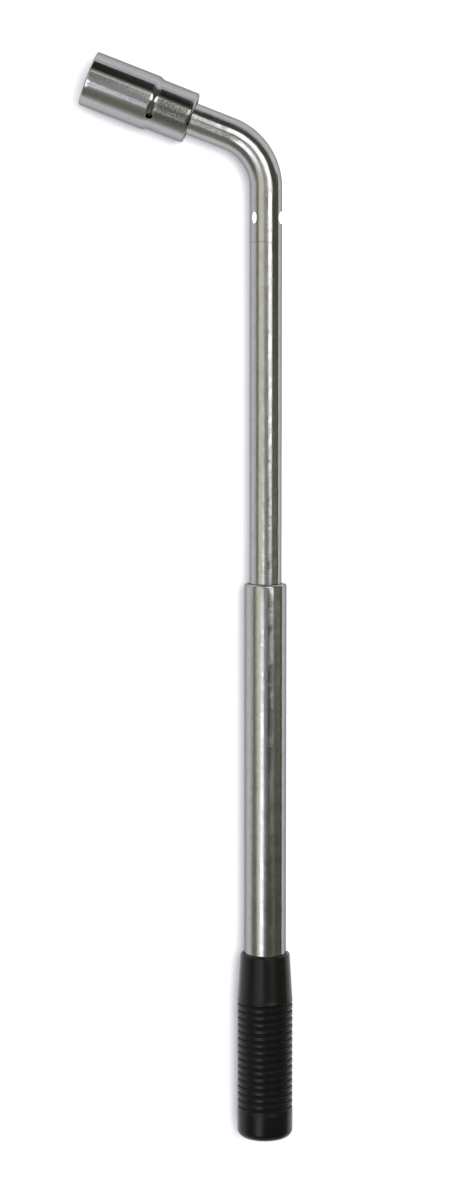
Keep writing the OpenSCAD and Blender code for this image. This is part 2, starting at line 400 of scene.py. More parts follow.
def steelLook(name, finish):
    # plain ground or drawn steel with a mottled oil film
    material, nodes = newLook(name)
    own = nodes.own()
    film = nodes.noise(own, finish["scale"], 4.0, 0.6)
    scratch = nodes.noise(nodes.stretched(own, (1.0, 6.0, 1.0)), finish["scale"] * 5, 3.0, 0.7)
    tone = nodes.mix(nodes.step(film, 0.35, 0.7), finish["colour"], finish["filmColour"])
    rough = finish["roughness"] + scratch * 0.15
    finishLook(nodes, {"Base Color": tone, "Metallic": 1.0, "Roughness": rough,
                       "Normal": nodes.bump(scratch, 0.004)})
    return material


def nylonLook(name, finish):
    # off-white nylon with faint flow marks
    material, nodes = newLook(name)
    own = nodes.own()
    flow = nodes.noise(own, 380.0, 4.0, 0.6)
    tone = nodes.mix(flow, finish["colour"], finish["flowColour"])
    finishLook(nodes, {"Base Color": tone, "Roughness": 0.42 + flow * 0.16,
                       "Normal": nodes.bump(flow, 0.02)})
    return material


# in the finishes, depths are millimetres; places, edges and their softness are metres
cornerDown = float(corner[1] * millimetre)
plateFinish = {
    "colour": (0.302, 0.302, 0.299, 1), "edgeTint": (0.43, 0.43, 0.43, 1), "roughness": 0.05,
    "dirtColour": (0.24, 0.228, 0.20, 1), "dirt": 0.45, "dirtFrom": (0.42, 0.75), "dirtBlur": 0.05,
}
tubeFinish = dict(
    plateFinish, dirtScale=260.0, rippleScale=360.0, rippleDepth=0.006,
    pitScale=1900.0, pitDepth=0.05, pitPatches=130.0, pitsFrom=(0.3, 0.62),
    lineScale=2600.0, lineStretch=0.02, lineDepth=0.0006, lineBlur=0.05)
barFinish = dict(
    tubeFinish, rippleScale=420.0,
    wornAt=(cornerDown - 0.0449, cornerDown - 0.0441), wornSoft=0.0004,
    worn=0.55, wornColour=(0.25, 0.20, 0.14, 1),
    # painted highlights: on the ears' tops and in a patch beside the right-hand ear
    earAt=(0.1165, 0.1235), earFrom=(0.0078, 0.008), earSoft=0.0003,
    earHighlightColour=(0.85, 0.85, 0.85, 1), earBlur=0.3, earDull=0.9,
    patchTurn=math.radians(22), patchAt=0.1198, patchShape=44.0, patchFrom=(0.00740, 0.00747))
socketFinish = dict(
    plateFinish, dirtScale=240.0, rippleScale=900.0, rippleDepth=0.014,
    markScale=1500.0, markGrain=(1.0, 0.12, 0.12), markDepth=0.008, markBlur=0.06,
    darkAlongFrom=(0.0345, 0.0375), darkAbove=(0.0101, 0.0115), upperSideColour=(0.095, 0.09, 0.075, 1),
    fleckScale=1300.0, flecksFrom=(0.3, 0.62), flecks=0.55)
rubberFinish = {
    "colour": (0.0021, 0.0021, 0.0017, 1), "roughness": 0.16, "shine": 0.165,
    "bloomColour": (0.003, 0.003, 0.0025, 1), "bloomScale": 90.0, "bloom": 0.6, "bloomDepth": 0.06,
    "grainScale": 2600.0, "grainDepth": 0.018,
    "ribHeights": (13.05 * millimetre, 13.5 * millimetre),     # the grooves' floor and the ribs' tops
    "ribsAt": (cornerDown - 0.4715, cornerDown - 0.4158), "ribsSoft": 0.0002,
    # painted shade low in the grooves, and how far it goes; the grooves are duller there too
    "grooveShadeColour": (0.0011, 0.0011, 0.0009, 1), "groove": 0.8, "grooveBlur": 0.4,
}
ballFinish = dict(
    colour=(0.55, 0.55, 0.55, 1), filmColour=(0.42, 0.41, 0.39, 1), roughness=0.12, scale=900)
springFinish = dict(
    colour=(0.30, 0.295, 0.29, 1), filmColour=(0.17, 0.16, 0.15, 1), roughness=0.3, scale=1200)
washerFinish = dict(
    colour=(0.46, 0.46, 0.45, 1), filmColour=(0.36, 0.35, 0.33, 1), roughness=0.3, scale=700)
nylonFinish = {"colour": (0.70, 0.67, 0.58, 1), "flowColour": (0.62, 0.58, 0.48, 1)}

barChrome = chromeLook("barChrome", barFinish, True, (1.0, 1.0, 0.16))
tubeChrome = chromeLook("tubeChrome", tubeFinish, False, (1.0, 0.16, 1.0))
socketChrome = turnedChromeLook("socketChrome", socketFinish)
gripRubber = rubberLook("gripRubber", rubberFinish)
ballSteel = steelLook("ballSteel", ballFinish)
springSteel = steelLook("springSteel", springFinish)
washerSteel = steelLook("washerSteel", washerFinish)
bushNylon = nylonLook("bushNylon", nylonFinish)
print("finishes made:", len(bpy.data.materials))

# Socket

socketSizes = {
    "length": 52.8, "largeRadius": 13.39, "largeLength": 31.7, "smallRadius": 12.4, "shoulder": 3.4,
    "rim": 0.8, "chamfer": 0.9,
    "largeFlats": 19.2, "largeDepth": 23, "smallFlats": 17.2, "webEnd": 40.8, "squareFlats": 12.85,
    "leadIn": 0.25,        # the mouth's cone starts this far outside the hexagon's corners
    "holeRadius": 1.6, "holeCells": 8,
    "cell": 1.6,           # widest step round the socket, degrees
    "outerRows": 22, "neckRows": 12, "chamferRound": 0.36, "chamferRow": 0.15, "soft": 0.08,
    "smallRows": (50, 47, 44), "webRows": (29, 26), "largeRows": (18, 12, 7),     # rings inside
}


def socketRadius(z, sizes):
    # outer radius along the socket: the large end, an S of two equal arcs, and the small end
    large, small, start, shoulder = pick(sizes, "largeRadius smallRadius largeLength shoulder")
    step = large - small
    bendRadius = (shoulder ** 2 + step ** 2) / (4 * step)
    half = shoulder / 2
    first = np.clip(z - start, 0, half)
    last = np.clip(start + shoulder - z, 0, half)
    upper = large - bendRadius + np.sqrt(bendRadius ** 2 - first ** 2)
    lower = small + bendRadius - np.sqrt(bendRadius ** 2 - last ** 2)
    return np.where(z < start + half, upper, lower)


def makeSocket(sizes):
    # a closed profile carried round the arm, its radius at angle t the circle's, a hexagon's or the square's
    turn = math.radians(layout["detentTurn"])
    holeTurn = math.pi + turn
    half = sizes["holeCells"]
    length, depth, webEnd, flats = pick(sizes, "length largeDepth webEnd squareFlats")
    holeRadius, large, rimRound, lead, soft = pick(sizes, "holeRadius largeRadius rim leadIn soft")
    zMid = layout["detentAt"]
    outAtHole = float(socketRadius(np.array(zMid), sizes))
    blockTurn = math.degrees(math.asin(holeRadius / outAtHole))
    mid = math.degrees(holeTurn)
    marks = sorted([60 * k for k in range(7)] + [(mid + 45 + 90 * k) % 360 for k in range(4)]
                   + [mid - 2 * blockTurn, mid + 2 * blockTurn])
    parts = []
    for low, high in zip(marks[:-1], marks[1:]):
        inBlock = abs((low + high) / 2 - mid) < 1e-6
        cells = 4 * half if inBlock else math.ceil((high - low) / sizes["cell"])
        parts.append(np.linspace(low, high, cells + 1)[:-1])
    t = np.radians(np.concatenate(parts))
    cols = len(t)
    colMid = int(np.argmin(abs(t - holeTurn)))
    off = t - holeTurn

    rings = []

    def ring(r, z, angle=t):
        rings.append(np.stack(np.broadcast_arrays(r + 0 * t, z + 0 * t, angle), 1))

    def wall(r, heights, angle=t):
        for z in heights:
            ring(r, z, angle)

    hole = zMid + holeRadius / half * np.arange(-2 * half, 2 * half + 1)
    for r, z in arc((large - rimRound, rimRound), rimRound, -90, 0, 8):
        ring(r, z)
    small, chamfer, chamferRow, rounding = pick(sizes, "smallRadius chamfer chamferRow chamferRound")
    chamferAt = length - chamfer - chamferRow
    before = np.linspace(rimRound, hole[0], sizes["outerRows"])[1:-1]
    after = np.linspace(hole[-1], chamferAt, sizes["neckRows"])[1:]
    outerMid = len(rings) + len(before) + 2 * half
    for z in np.concatenate([before, hole, after]):
        ring(socketRadius(z, sizes), z)
    for r, z in arc((small - rounding, chamferAt), rounding, 0, 45, 3)[1:]:
        ring(r, z)
    face = small - chamfer
    ring(face + soft, length - 0.06)
    ring(face - soft, length)
    # small hexagon: cone at the mouth, then the walls down to the web
    smallHex = hexReach(t, sizes["smallFlats"])
    smallCorner = smallHex.max() + lead
    ring(smallCorner + soft, length)
    ring(smallCorner - soft / 2, length - 0.1)
    ring(smallHex, length - (smallCorner - smallHex))
    wall(smallHex, (*sizes["smallRows"], webEnd + 0.15))
    ring(smallHex - 0.15, webEnd)
    # square hole through the web; its columns are spread so that the cells fit the detent hole
    angle = holeTurn + spreadToFlat(off, blockTurn, holeRadius, flats / 2)
    square = squareReach(angle, flats, turn)
    ring(square + 0.3, webEnd, angle)
    ring(square, webEnd - 0.3, angle)
    innerMid = len(rings) + 2 * half
    wall(square, (*hole[::-1], *sizes["webRows"], depth + 0.4), angle)
    ring(square + 0.4, depth, angle)
    # large hexagon
    largeHex = hexReach(t, sizes["largeFlats"])
    largeCorner = largeHex.max() + lead
    ring(largeHex - 0.2, depth)
    wall(largeHex, (depth - 0.2, *sizes["largeRows"]))
    ring(largeHex, largeCorner - largeHex)
    ring(largeCorner - soft / 2, 0.1)
    ring(largeCorner + 0.1, 0)
    ring(large - rimRound - 0.2, 0)

    rings = np.stack(rings)
    r, z, angle = rings[..., 0], rings[..., 1], rings[..., 2]
    # the detent hole: rims on the outside and on the square's flat, joined by a wall
    y = r * np.sin(angle - holeTurn)
    x = r * np.cos(angle - holeTurn)
    outY, outZ, near, openOut = roundHole(y, z, outerMid, colMid, half, holeRadius, zMid)
    outX = np.sqrt(np.maximum(socketRadius(outZ, sizes) ** 2 - outY ** 2, 0))
    x, y, z = np.where(near, outX, x), np.where(near, outY, y), np.where(near, outZ, z)
    inY, inZ, near, openIn = roundHole(y, z, innerMid, colMid, half, holeRadius, zMid, -1)
    x, y, z = np.where(near, flats / 2, x), np.where(near, inY, y), np.where(near, inZ, z)
    armX = x * math.cos(holeTurn) - y * math.sin(holeTurn)
    armY = x * math.sin(holeTurn) + y * math.cos(holeTurn)
    points, faces = lofted(onArm(armX, armY, z) * millimetre, True, openOut | openIn)
    faces.append(bridge(rimOf(outerMid, colMid, half, cols), rimOf(innerMid, colMid, half, cols, -1)))
    buildPiece("wheelNutSocket", points, faces, socketChrome, "socket")


makeSocket(socketSizes)

# Bar

barSizes = {
    "driveStart": 27.3, "driveFlats": 12.65, "driveCorner": 8.2, "tipCorner": 7.0,
    "shoulderAt": 40.95, "shoulderRadius": 7.0, "driveEnd": 41.8,
    "tipRows": (0.12, 0.4, 0.7, 1.0, 1.2), "shoulderRows": (0, 0.15, 0.4, 0.65, 0.8, 0.85),
    "armRows": (45, 9), "bendRows": 49, "handleRows": (38, 40),     # first rings, and numbers of rings
    "pocketRadius": 2.45, "pocketFloor": -3.2,
    "earAt": 33.2, "earTurns": (16, 136, 256), "earLength": 5.8, "earWidth": 3.0, "earRise": 0.9,
    "earBlend": 0.14, "earSink": 0.8, "earFade": 0.4, "earRows": 17, "earStep": 0.2,
    "boreRadius": 2.55, "boreSpan": 4.8,
    "roundEnd": 272.5, "spigotRadius": 6.3, "grooveStart": 277.4, "grooveEnd": 278.4, "grooveRadius": 5.6,
    "end": 279.5,
    "columns": 240, "holeCells": 12,
    "armColumnTurn": -13, "handleColumnTurn": -12,    # where the first column runs, degrees
}


def earRadius(turn, along, sizes):
    # the bar's radius with its ears: the outer edge of a ring of round section laid along the bar,
    # middle + sqrt((R + sqrt(w^2 - across^2))^2 - along^2), let softly into the round
    bar = layout["barRadius"]
    length, rise = pick(sizes, "earLength earRise")
    halfWidth, crest = sizes["earWidth"] / 2, bar + rise
    ringRadius = ((length / 2) ** 2 + rise ** 2) / (2 * rise)
    low = bar - sizes["earSink"]
    rise = np.full(np.broadcast(turn, along).shape, low)
    for ear in np.radians(sizes["earTurns"]):
        across = (bar + 0.4) * np.sin(turn - ear)
        height = ringRadius - halfWidth + np.sqrt(np.maximum(halfWidth ** 2 - across ** 2, 0))
        top = crest - ringRadius + np.sqrt(np.maximum(height ** 2 - along ** 2, 0))
        facing = (np.cos(turn - ear) > 0.5) & (abs(across) < halfWidth)
        rise = np.where(facing, np.maximum(rise, top / np.maximum(np.cos(turn - ear), 0.5)), rise)
    fade = 1 - smooth((abs(along) - length / 2) / sizes["earFade"])
    rise = low + (rise - low) * fade

    def soft(a):
        return 0.5 * (a + bar + np.sqrt((a - bar) ** 2 + sizes["earBlend"] ** 2))
    return bar + soft(rise) - soft(low)


def makeBar(sizes):
    # rings carried along the arm, round the bend and down the handle: centre + side*a + up*b + ahead*slide
    bar = layout["barRadius"]
    start, driveEnd, shoulder, tip = pick(sizes, "driveStart driveEnd shoulderAt tipCorner")
    pocket, bore, roundEnd, spigot = pick(sizes, "pocketRadius boreRadius roundEnd spigotRadius")
    armFirst, handleFirst = pick(sizes, "armColumnTurn handleColumnTurn")
    bendRadius, ballsAt = pick(layout, "bendRadius catchAt")
    bend = math.pi / 2 - lift
    tangent = bendRadius * math.tan(bend / 2)
    armEnd = layout["armLength"] - tangent
    bendLength = bendRadius * bend
    cols, half = sizes["columns"], sizes["holeCells"]
    step = 360 / cols
    armTurn = np.radians(armFirst + step * np.arange(cols))
    handleTurn = np.radians(handleFirst + step * np.arange(cols))
    flatTurn = math.radians(layout["detentTurn"])
    pocketTurn = flatTurn + math.pi / 2
    pocketMid = round((math.degrees(pocketTurn) - armFirst) / step)
    off = (armTurn - pocketTurn + math.pi) % fullTurn - math.pi
    flat = sizes["driveFlats"] / 2
    driveTurn = pocketTurn + spreadToFlat(off, half * step, pocket, flat)
    square = squareReach(driveTurn, sizes["driveFlats"], flatTurn)
    headings, centres, lengths, rings = [], [], [], []

    def ring(where, radius, turn, heading, centre):
        headings.append(heading)
        centres.append(centre)
        lengths.append(where)
        rings.append(np.stack([radius * np.cos(turn), radius * np.sin(turn)], 1))

    def armRing(z, radius, turn=driveTurn):
        ring(z, radius + 0 * turn, turn, -lift, armAxis * z)

    def handleRing(s, radius, turn=handleTurn):
        where = armEnd + bendLength + s - tangent
        ring(where, radius + 0 * turn, turn, -math.pi / 2, corner + handleAxis * s)

    armRing(start, np.minimum(square, tip) - 0.15)
    for z in sizes["tipRows"]:
        armRing(start + z, np.minimum(square, tip + z))
    body = np.minimum(square, sizes["driveCorner"])
    pocketRow = len(rings) + 2 * half
    steps = np.arange(-2 * half, 2 * half + 1)
    for z in (*(layout["detentAt"] + pocket / half * steps), 39.6, shoulder - 0.01):
        armRing(z, body)
    for rise in sizes["shoulderRows"]:
        armRing(shoulder + rise, np.maximum(body, min(sizes["shoulderRadius"] + rise, bar)))
    armRing(driveEnd + 0.06, bar)
    first, count = sizes["armRows"]
    for z in np.linspace(first, armEnd, count)[:-1]:
        armRing(z, bar, armTurn)
    bendMid = corner + handleAxis * tangent - handleSide * bendRadius
    for share in np.linspace(0, 1, sizes["bendRows"]):
        heading = -lift - bend * share
        out = np.array([-math.sin(heading), math.cos(heading), 0])
        turn = armTurn + (handleTurn - armTurn) * smooth(share)
        ring(armEnd + bendLength * share, bar + 0 * turn, turn, heading, bendMid + out * bendRadius)
    rows = [(s, bar) for s in (22, 25.5, 28.5)]
    rows += [(sizes["earAt"] + along, earRadius(handleTurn, along, sizes))
             for along in np.arange(-sizes["earRows"], sizes["earRows"] + 1) * sizes["earStep"]]
    span, (first, count) = pick(sizes, "boreSpan handleRows")
    rows += [(s, bar) for s in np.linspace(first, ballsAt - span - 1.5, count)]
    boreRow = len(rings) + len(rows) + 2 * half
    slides = np.sign(steps) * np.interp(abs(steps), [0, half, 2 * half], [0, bore, span])
    rows += [(ballsAt + slide, bar) for slide in slides]
    clipStart, clipEnd, groove, end = pick(sizes, "grooveStart grooveEnd grooveRadius end")
    rows += [(roundEnd - 0.12, bar), (roundEnd, bar - 0.15), (roundEnd, spigot + 0.15),
             (roundEnd + 0.15, spigot), (275, spigot), (clipStart, spigot), (clipStart, groove),
             (clipEnd, groove), (clipEnd, spigot), (end - 0.4, spigot), (end, spigot - 0.4)]
    for s, radius in rows:
        handleRing(s, radius)

    rings, lengths = np.stack(rings), np.array(lengths)[:, None]
    a, b, slide = rings[..., 0], rings[..., 1], np.zeros(rings.shape[:2])
    openCells = np.zeros(rings.shape[:2], bool)
    holes = ((pocketRow, pocketMid, pocketTurn, pocket, flat),
             (boreRow, round(-handleFirst / step), 0.0, bore, None),
             (boreRow, round((180 - handleFirst) / step), math.pi, bore, None))
    for row, col, turn, radius, depth in holes:
        across = -a * math.sin(turn) + b * math.cos(turn)
        out = a * math.cos(turn) + b * math.sin(turn)
        own = lengths + slide
        y, z, near, holeCells = roundHole(across, own, row, col, half, radius, lengths[row, 0])
        x = np.where(near, np.sqrt(np.maximum(bar ** 2 - y ** 2, 0)) if depth is None else depth, out)
        a, b = x * math.cos(turn) - y * math.sin(turn), x * math.sin(turn) + y * math.cos(turn)
        slide = z - lengths
        openCells |= holeCells
    heading = np.array(headings)[:, None]
    side = np.stack([-np.sin(heading), np.cos(heading), 0 * heading], -1)
    ahead = np.stack([np.cos(heading), np.sin(heading), 0 * heading], -1)
    grid = np.stack(centres)[:, None, :] + side * a[..., None] + upward * b[..., None]
    grid = grid + ahead * slide[..., None]
    points, faces = lofted(grid * millimetre, False, openCells)
    laid = np.stack([a, b, lengths + slide], -1).reshape(-1, 3) * millimetre
    laid = np.concatenate([laid, laid[:1], laid[-1:]])
    # the ball's pocket: a wall from its rim down to a flat floor
    rim = rimOf(pocketRow, pocketMid, half, cols)
    inward = armSide * math.cos(pocketTurn) + upward * math.sin(pocketTurn)
    floor = points[rim] + inward * (sizes["pocketFloor"] - flat) * millimetre
    first = len(points)
    points = np.concatenate([points, floor, floor.mean(0)[None]])
    laid = np.concatenate([laid, laid[rim], laid[rim[:1]]])
    floorLoop = first + np.arange(len(rim))
    faces += [bridge(rim, floorLoop), fan(floorLoop, first + len(rim))]
    # the catch balls' bore runs straight through from one side to the other
    right, left = holes[1][1], holes[2][1]
    faces.append(bridge(rimOf(boreRow, right, half, cols), rimOf(boreRow, left, half, cols, 1, -1)))
    buildPiece("forgedBar", points, faces, barChrome, "l_bar", laid=laid)


makeBar(barSizes)

# Tube

tubeSizes = {
    "mouth": 209.5, "length": 273.2, "radius": 10.3, "bore": 8.4, "edge": 1.1,
    "lipRadius": 7.875, "lipLength": 3.0, "lipChamfer": 0.5,
    "grooveMid": 6.1, "grooveRadius": 2.8, "travel": 173, "endRound": 0.4, "rows": 40, "columns": 240,
}


def makeTube(sizes):
    # closed half section (r, z): rolled mouth, outside, cut end, bore with its two ball grooves, and the lip
    mouth, bore, end, radius, edge, rounding = pick(sizes, "mouth bore length radius edge endRound")
    lip, lipEnd, chamfer = pick(sizes, "lipRadius lipLength lipChamfer")
    ballMid, ballRadius = pick(sizes, "grooveMid grooveRadius")
    firstCatch = layout["catchAt"] - mouth
    swing = math.degrees(math.acos((bore - ballMid) / ballRadius))
    outside = np.linspace(edge, end - rounding, sizes["rows"])[1:-1]
    profile = np.concatenate([
        arc((radius - edge, edge), edge, -90, 0, 14),
        np.stack([np.full(len(outside), radius), outside], 1),
        arc((radius - rounding, end - rounding), rounding, 0, 90, 5),
        [[bore + 0.3, end], [bore, end - 0.3]],
        *(arc((ballMid, firstCatch + at), ballRadius, swing, -swing, 12) for at in (sizes["travel"], 0)),
        [[bore, lipEnd + 0.6], [lip, lipEnd], [lip, chamfer]],
        arc((lip + chamfer, chamfer), chamfer, 180, 270, 5)[1:]])
    points, faces = turned(profile, mouth, sizes["columns"])
    buildPiece("chromedTube", points, faces, tubeChrome, "outer_tube")


makeTube(tubeSizes)

# Grip

gripSizes = {
    "mouth": 392.5, "length": 92.695, "mouthRadius": 12.2, "lip": 1.2, "bore": 10.32, "boreEnd": 90.3,
    "collar": 22.9, "ribRadius": 13.65, "bandRadius": 13.745, "endRadius": 4.0,
    "grooves": 16, "firstGroove": 25.0, "pitch": 3.45, "cutRadius": 0.9, "cutMid": 0.3,
    "edgeBlend": 0.10, "crown": 0.07, "columns": 176,
    "ribSteps": (0.25, 0.45, 0.6, 0.72, 0.8, 0.87, 0.95, 1.1, 1.35),     # rings each side of a groove
    "bandRows": (86, 83, 80.5), "boreRows": (4, 20, 55), "boreRound": 0.55,
}


def ribRadius(z, sizes):
    # the ribs' radius: the crest less a round cut sqrt(cut^2 - d^2) - mid at distance d from a groove's
    # middle, with softened edges, and less a low crown between the grooves
    first, pitch, mid, blend = pick(sizes, "firstGroove pitch cutMid edgeBlend")
    lastNumber = sizes["grooves"] - 1
    d = abs(z - (first + np.clip(np.round((z - first) / pitch), 0, lastNumber) * pitch))
    cut = np.maximum(np.sqrt(np.maximum(sizes["cutRadius"] ** 2 - d ** 2, 0)) - mid, -mid)
    soft = 0.5 * (cut + np.sqrt(cut ** 2 + blend ** 2))
    soft -= 0.5 * (-mid + math.sqrt(mid ** 2 + blend ** 2))
    inside = (z > first - pitch / 2) & (z < first + lastNumber * pitch + pitch / 2)
    crown = np.where(inside, np.maximum(1 - d / (pitch / 2), 0) ** 2 * sizes["crown"], 0)
    return sizes["ribRadius"] - soft - crown


def makeGrip(sizes):
    # half section (r, z) from the middle of the end face, over the ribs and the collar, to the bore's floor
    length, band, turnedIn, rib, collar = pick(sizes, "length bandRadius endRadius ribRadius collar")
    mouth, lip, first, pitch = pick(sizes, "mouthRadius lip firstGroove pitch")
    bore, boreEnd, rounding = pick(sizes, "bore boreEnd boreRound")
    ribsEnd = first + (sizes["grooves"] - 0.5) * pitch
    side = np.array(sizes["ribSteps"])
    around = np.concatenate([-side[::-1], [0], side, [pitch / 2]])
    ribs = (first + pitch * np.arange(sizes["grooves"])[:, None] + around).ravel()
    ribs = ribs[ribs < ribsEnd - 0.01][::-1]
    endFace = np.linspace(0.6, band - turnedIn, 8)[:-1]
    taper = np.linspace(collar, lip, 16)
    slope = (rib - 0.1 - mouth) / (collar - lip)
    profile = np.concatenate([
        np.stack([endFace, np.full(len(endFace), length)], 1),
        arc((band - turnedIn, length - turnedIn), turnedIn, 90, 0, 16),
        [[band, z] for z in sizes["bandRows"]],
        [[band, ribsEnd + 0.75], [band - 0.03, ribsEnd + 0.58], [rib + 0.02, ribsEnd + 0.1]],
        np.stack([ribRadius(ribs, sizes), ribs], 1),
        [[rib - 0.015, collar + 0.45], [rib - 0.05, collar + 0.25]],
        np.stack([mouth + slope * (taper - lip), taper], 1),
        arc((mouth - lip, lip), lip, 0, -90, 10)[1:],
        arc((bore + rounding, rounding), rounding, -100, -180, 6),
        [[bore, z] for z in sizes["boreRows"]],
        [[bore, boreEnd], [bore - 3, boreEnd], [2, boreEnd]]])
    points, faces = turned(profile, sizes["mouth"], sizes["columns"], False)
    buildPiece("ribbedGrip", points, faces, gripRubber, "grip", 60)


makeGrip(gripSizes)

# Balls and springs

ballSizes = {"driveRadius": 2.4, "driveOut": 3.905, "catchRadius": 2.5, "catchOut": 5.28}
springSizes = {
    "drive": {"mean": 1.6, "wire": 0.3, "start": -3.1, "height": 4.505},
    "catch": {"mean": 1.7, "wire": 0.35, "start": -2.68, "height": 5.36},
    "turns": 4, "closed": 0.75, "sides": 14, "steps": 40,
}


def onDetent(x, y, z):
    # x out through the drive ball, y round the arm and z along it
    turn = math.pi + math.radians(layout["detentTurn"])
    return onArm(x * math.cos(turn) - y * math.sin(turn), x * math.sin(turn) + y * math.cos(turn),
                 layout["detentAt"] + z)


def onCatch(x, y, z):
    # x out through the right-hand catch ball, y up and z along the handle
    return onHandle(x, y, layout["catchAt"] + z)


def makeBall(name, node, radius, out, place):
    # a sphere: radius*(cos u cos t, sin u, cos u sin t), moved out along x
    u = np.radians(np.linspace(-87, 87, 30))[:, None]
    t = np.arange(56) * fullTurn / 56
    across = radius * np.cos(u)
    grid = place(out + across * np.cos(t), across * np.sin(t), radius * np.sin(u) + 0 * t)
    tips = [place(out, 0.0, -radius) * millimetre, place(out, 0.0, radius) * millimetre]
    points, faces = lofted(grid * millimetre, False, tips=tips)
    buildPiece(name, points, faces, ballSteel, node, 60)


def makeSpring(name, node, values, shared, place):
    # round wire along a helix: middle (rise(t), mean*cos t, mean*sin t), and the wire's circle square to it
    turns, wire = shared["turns"], values["wire"]
    t = np.linspace(0, turns, turns * shared["steps"] + 1)
    climb, closed = values["height"] - 2 * wire, shared["closed"]
    shut = closed * 2.08 * wire
    rise = np.interp(t, [0, closed, turns - closed, turns], [0, shut, climb - shut, climb])
    rise = np.convolve(np.pad(rise, 4, "reflect", reflect_type="odd"), np.ones(9) / 9, "valid")
    angle = t * fullTurn
    mean = values["mean"]
    middle = np.stack([values["start"] + wire + rise, mean * np.cos(angle), mean * np.sin(angle)], 1)
    outward = np.stack([0 * angle, np.cos(angle), np.sin(angle)], 1)
    ahead = np.gradient(middle, axis=0)
    ahead /= np.linalg.norm(ahead, axis=1)[:, None]
    across = np.cross(ahead, outward)
    b = np.arange(shared["sides"]) * fullTurn / shared["sides"]
    local = (middle[:, None] + wire * np.cos(b)[None, :, None] * outward[:, None]
             + wire * np.sin(b)[None, :, None] * across[:, None])
    points, faces = lofted(place(local[..., 0], local[..., 1], local[..., 2]) * millimetre)
    buildPiece(name, points, faces, springSteel, node, 40)


makeBall("driveDetentBall", "drive_ball", ballSizes["driveRadius"], ballSizes["driveOut"], onDetent)
makeBall("catchBallRight", "catch_ball_right", ballSizes["catchRadius"], ballSizes["catchOut"], onCatch)
makeBall("catchBallLeft", "catch_ball_left", ballSizes["catchRadius"], -ballSizes["catchOut"], onCatch)
makeSpring("driveDetentSpring", "drive_spring", springSizes["drive"], springSizes, onDetent)
makeSpring("catchBallSpring", "catch_spring", springSizes["catch"], springSizes, onCatch)

# Bush, washer and clip on the bar's turned end

endSizes = {
    "bushAt": 272.6, "bushLength": 3.5, "bushInner": 6.35, "bushOuter": 8.35,
    "bushSplit": 0.6, "bushSplitTurn": 40,     # half the split's width, and its turn in degrees
    "washerAt": 276.2, "washerThick": 1.2, "washerInner": 6.35, "washerOuter": 8.2,
    "clipAt": 277.5, "clipThick": 0.8, "clipInner": 5.65, "clipOuter": 7.6, "clipGap": 70,
}


def roundedSection(inner, outer, height, edge, steps=4):
    # closed rectangle (r, z) from inner to outer with edges of a small radius
    right, left, low, high = outer - edge, inner + edge, edge, height - edge
    corners = ((right, low), (right, high), (left, high), (left, low))
    return np.concatenate([arc(c, edge, 90 * k - 90, 90 * k, steps) for k, c in enumerate(corners)])


def makeWasher(sizes):
    # closed section turned about the handle's axis
    profile = roundedSection(sizes["washerInner"], sizes["washerOuter"], sizes["washerThick"], 0.15)
    points, faces = turned(profile, sizes["washerAt"], 128)
    buildPiece("endWasher", points, faces, washerSteel, "retaining_washer")


def makeBush(sizes):
    # section carried round between the split's faces: at radius r it starts asin(half width/r) on
    profile = roundedSection(sizes["bushInner"], sizes["bushOuter"], sizes["bushLength"], 0.3)
    r, z = profile[None, :, 0], profile[None, :, 1]
    gap = np.arcsin(sizes["bushSplit"] / r)
    share = np.linspace(0, 1, 120)[:, None]
    t = math.radians(sizes["bushSplitTurn"]) + gap + (fullTurn - 2 * gap) * share
    grid = onHandle(r * np.cos(t), r * np.sin(t), sizes["bushAt"] + z + 0 * t)
    points, faces = lofted(grid * millimetre)
    buildPiece("splitBush", points, faces, bushNylon, "guide_bush")


def makeClip(sizes):
    # flat section carried round an open ring, drawn in to a half circle at both tips
    section = roundedSection(-1.0, 1.0, sizes["clipThick"], 0.12, 3)
    inner, outer = pick(sizes, "clipInner clipOuter")
    middle, halfWidth = (inner + outer) / 2, (outer - inner) / 2
    gap = math.radians(sizes["clipGap"] / 2)
    tip = halfWidth / middle
    nearTip = tip * (1 - np.cos(np.linspace(0, math.pi / 2, 9)))
    t = np.concatenate([gap + nearTip, np.linspace(gap + tip, fullTurn - gap - tip, 70)[1:-1],
                        fullTurn - gap - nearTip[::-1]])
    fromTip = np.minimum(t - gap, fullTurn - gap - t)
    width = halfWidth * np.sqrt(np.maximum(1 - np.maximum(1 - fromTip / tip, 0) ** 2, 0.01))
    r = middle + section[None, :, 0] * width[:, None]
    t = t[:, None]
    grid = onHandle(r * np.cos(t), r * np.sin(t), sizes["clipAt"] + section[None, :, 1] + 0 * r)
    points, faces = lofted(grid * millimetre)
    buildPiece("snapRing", points, faces, springSteel, "retaining_clip")


makeBush(endSizes)
makeWasher(endSizes)
makeClip(endSizes)

# Floor, light and camera

stageValues = {
    "floorSize": 6.0, "floorCells": 8,
    "floorColour": (0.79, 0.795, 0.81, 1), "floorSecond": (0.77, 0.775, 0.79, 1),
    "keyFrom": (0.40, 0.30, 1.8), "keySize": 0.8, "keyPower": 31.0, "keyColour": (1.0, 1.0, 0.99),
    "room": (0.44, 0.44, 0.45, 1),      # what the chrome mirrors where no card is
    "seen": (0.87, 0.895, 0.94, 1),     # what the camera sees past the floor
    "fill": (1.0, 1.01, 1.04, 1),       # soft light from all round
    "flagOut": (0.075, 0.12), "flagHigh": 0.02, "flagSpan": (-0.65, -0.014),
    "flagColour": (0.2, 0.19, 0.15, 1), "flagGlow": 0.8,
}
cameraPlace = {"place": (0.07751, -0.11317, 1.32624), "aim": (0.06915, -0.25070, 0.0), "lens": 82.11}


def stagedSheet(name, points, faces, look):
    mesh = bpy.data.meshes.new(name)
    mesh.from_pydata(points, [], faces)
    mesh.materials.append(look)
    sheet = placed(name, mesh)
    return sheet


